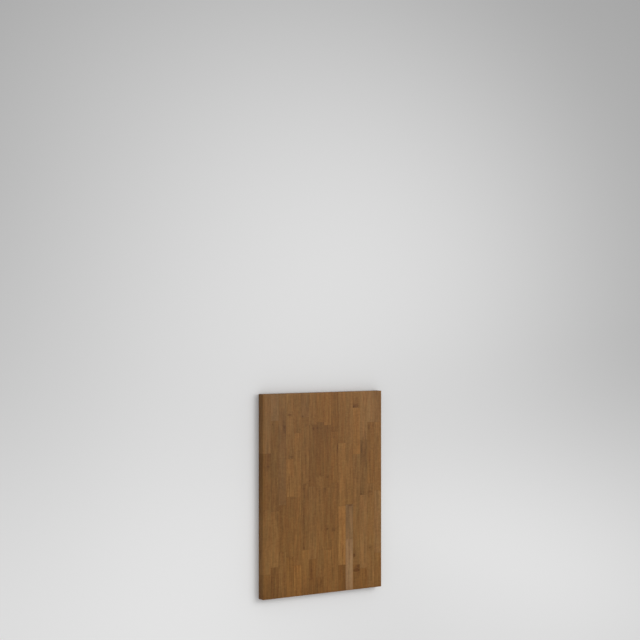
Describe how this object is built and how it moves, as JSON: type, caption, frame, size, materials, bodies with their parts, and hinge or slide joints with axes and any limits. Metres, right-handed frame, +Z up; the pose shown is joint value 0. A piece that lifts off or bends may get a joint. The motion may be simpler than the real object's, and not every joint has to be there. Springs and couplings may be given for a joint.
{
  "type": "butcher block countertop",
  "caption": "Solid rectangular worktop panel, edge-glued and butt-jointed from short oiled hardwood staves, with lightly eased arrises.",
  "frame": {"origin": "middle of the underside, which lies on the floor", "axes": "+X across the staves, +Y along the staves and the panel's length, +Z up out of the top face"},
  "size_m": [0.648, 0.9144, 0.0381],
  "materials": {
    "oiled_stave": "satin"
  },
  "bodies": {
    "root": {"stave_01_1": "oiled_stave", "stave_01_2": "oiled_stave", "stave_01_3": "oiled_stave", "stave_01_4": "oiled_stave", "stave_02_1": "oiled_stave", "stave_02_2": "oiled_stave", "stave_02_3": "oiled_stave", "stave_02_4": "oiled_stave", "stave_03_1": "oiled_stave", "stave_03_2": "oiled_stave", "stave_03_3": "oiled_stave", "stave_04_1": "oiled_stave", "stave_04_2": "oiled_stave", "stave_04_3": "oiled_stave", "stave_04_4": "oiled_stave", "stave_05_1": "oiled_stave", "stave_05_2": "oiled_stave", "stave_05_3": "oiled_stave", "stave_05_4": "oiled_stave", "stave_06_1": "oiled_stave", "stave_06_2": "oiled_stave", "stave_06_3": "oiled_stave", "stave_06_4": "oiled_stave", "stave_07_1": "oiled_stave", "stave_07_2": "oiled_stave", "stave_07_3": "oiled_stave", "stave_07_4": "oiled_stave", "stave_08_1": "oiled_stave", "stave_08_2": "oiled_stave", "stave_08_3": "oiled_stave", "stave_08_4": "oiled_stave", "stave_09_1": "oiled_stave", "stave_09_2": "oiled_stave", "stave_09_3": "oiled_stave", "stave_09_4": "oiled_stave", "stave_10_1": "oiled_stave", "stave_10_2": "oiled_stave", "stave_10_3": "oiled_stave", "stave_11_1": "oiled_stave", "stave_11_2": "oiled_stave", "stave_11_3": "oiled_stave", "stave_11_4": "oiled_stave", "stave_12_1": "oiled_stave", "stave_12_2": "oiled_stave", "stave_12_3": "oiled_stave", "stave_13_1": "oiled_stave", "stave_13_2": "oiled_stave", "stave_13_3": "oiled_stave", "stave_13_4": "oiled_stave", "stave_14_1": "oiled_stave", "stave_14_2": "oiled_stave", "stave_14_3": "oiled_stave", "stave_14_4": "oiled_stave", "stave_15_1": "oiled_stave", "stave_15_2": "oiled_stave", "stave_15_3": "oiled_stave", "stave_16_1": "oiled_stave", "stave_16_2": "oiled_stave", "stave_16_3": "oiled_stave", "stave_16_4": "oiled_stave"}
  },
  "joints": []
}
